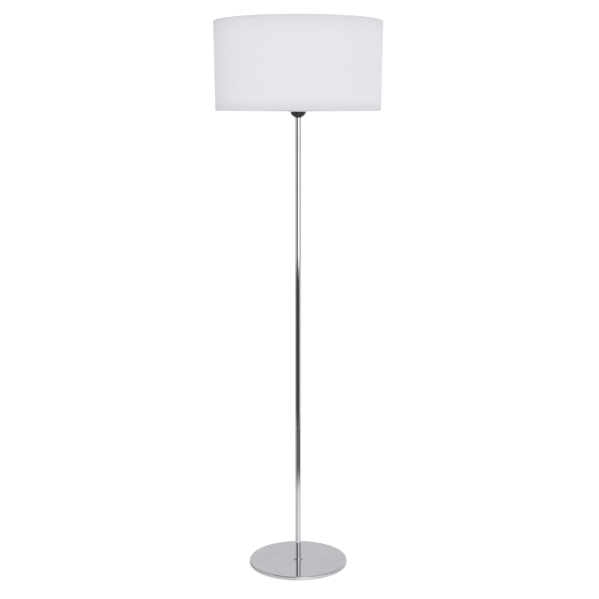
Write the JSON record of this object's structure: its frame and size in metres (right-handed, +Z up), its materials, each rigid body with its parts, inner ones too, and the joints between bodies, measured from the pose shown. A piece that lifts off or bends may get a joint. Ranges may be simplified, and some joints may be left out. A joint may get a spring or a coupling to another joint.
{
  "type": "floor lamp",
  "caption": "Floor lamp with a drum fabric shade on a slim chromed pole and a flat round weighted foot, with its lampholder, bulb, shade frame and inner lead.",
  "frame": {"origin": "on the floor, at the middle of the round foot", "axes": "+Z up along the pole; +Y towards the back, where the cord enters the pole; -Y is the front"},
  "size_m": [0.459, 0.459, 1.5305],
  "materials": {
    "chrome_plate": "mirror chrome plate",
    "zinc_steel": "bright zinc plate",
    "brass_turned": "turned, plain",
    "iron_disc": "as cast, black primer",
    "foot_foam": "closed-cell foam",
    "black_holder": "moulded, half gloss",
    "holder_ceramic": "glazed white insulator",
    "nickel_sheet": "nickel plate",
    "spring_bronze": "rolled strip",
    "lead_sheath": "white PVC sheath",
    "live_brown": "PVC insulation",
    "neutral_blue": "PVC insulation",
    "gland_nylon": "moulded nylon",
    "shade_fabric": "plain cotton weave",
    "shade_lining": "white PVC sheet",
    "white_wire": "white powder coat",
    "bulb_white": "moulded, satin",
    "bulb_opal": "opal diffuser",
    "bulb_glass": "black glass insulator",
    "board_aluminium": "white solder mask on aluminium"
  },
  "bodies": {
    "stand": {"base_cover": "chrome_plate", "base_pad": "foot_foam", "base_weight": "iron_disc", "centre_contact": "spring_bronze", "contact_rivets": "brass_turned", "cord_gland": "gland_nylon", "foot_bolt": "zinc_steel", "foot_plug": "zinc_steel", "foot_washer": "zinc_steel", "holder_block": "holder_ceramic", "holder_cap": "black_holder", "holder_nipple": "zinc_steel", "holder_skirt": "black_holder", "inner_lead": "lead_sheath", "live_core": "live_brown", "live_terminal": "brass_turned", "lock_screw": "zinc_steel", "lower_joint_high_bush": "brass_turned", "lower_joint_low_bush": "brass_turned", "lower_joint_nipple": "zinc_steel", "lower_tube": "chrome_plate", "middle_tube": "chrome_plate", "neutral_core": "neutral_blue", "neutral_terminal": "brass_turned", "pole_collar": "chrome_plate", "pole_top_bush": "brass_turned", "screw_shell": "nickel_sheet", "terminal_screws": "zinc_steel", "upper_joint_high_bush": "brass_turned", "upper_joint_low_bush": "brass_turned", "upper_joint_nipple": "zinc_steel", "upper_tube": "chrome_plate"},
    "shade": {"shade_cover": "shade_fabric", "shade_liner": "shade_lining", "shade_bottom_wire": "white_wire", "shade_top_wire": "white_wire", "centre_ring": "white_wire", "shade_arm_1": "white_wire", "shade_arm_2": "white_wire", "shade_arm_3": "white_wire"},
    "clamp_ring": {"shade_clamp_ring": "black_holder"},
    "bulb": {"bulb_cap": "nickel_sheet", "bulb_insulator": "bulb_glass", "bulb_contact": "zinc_steel", "bulb_housing": "bulb_white", "led_board": "board_aluminium", "bulb_globe": "bulb_opal"}
  },
  "joints": [
    {"name": "shade_turn", "type": "hinge", "parent": "stand", "child": "shade", "pos_m": [0, 0, 1.2923], "axis": [0, 0, 1], "continuous": true},
    {"name": "clamp_ring_turn", "type": "hinge", "parent": "stand", "child": "clamp_ring", "pos_m": [0, 0, 1.2983], "axis": [0, 0, 1], "continuous": true},
    {"name": "bulb_turn", "type": "hinge", "parent": "stand", "child": "bulb", "pos_m": [0, 0, 1.31], "axis": [0, 0, 1], "continuous": true}
  ]
}
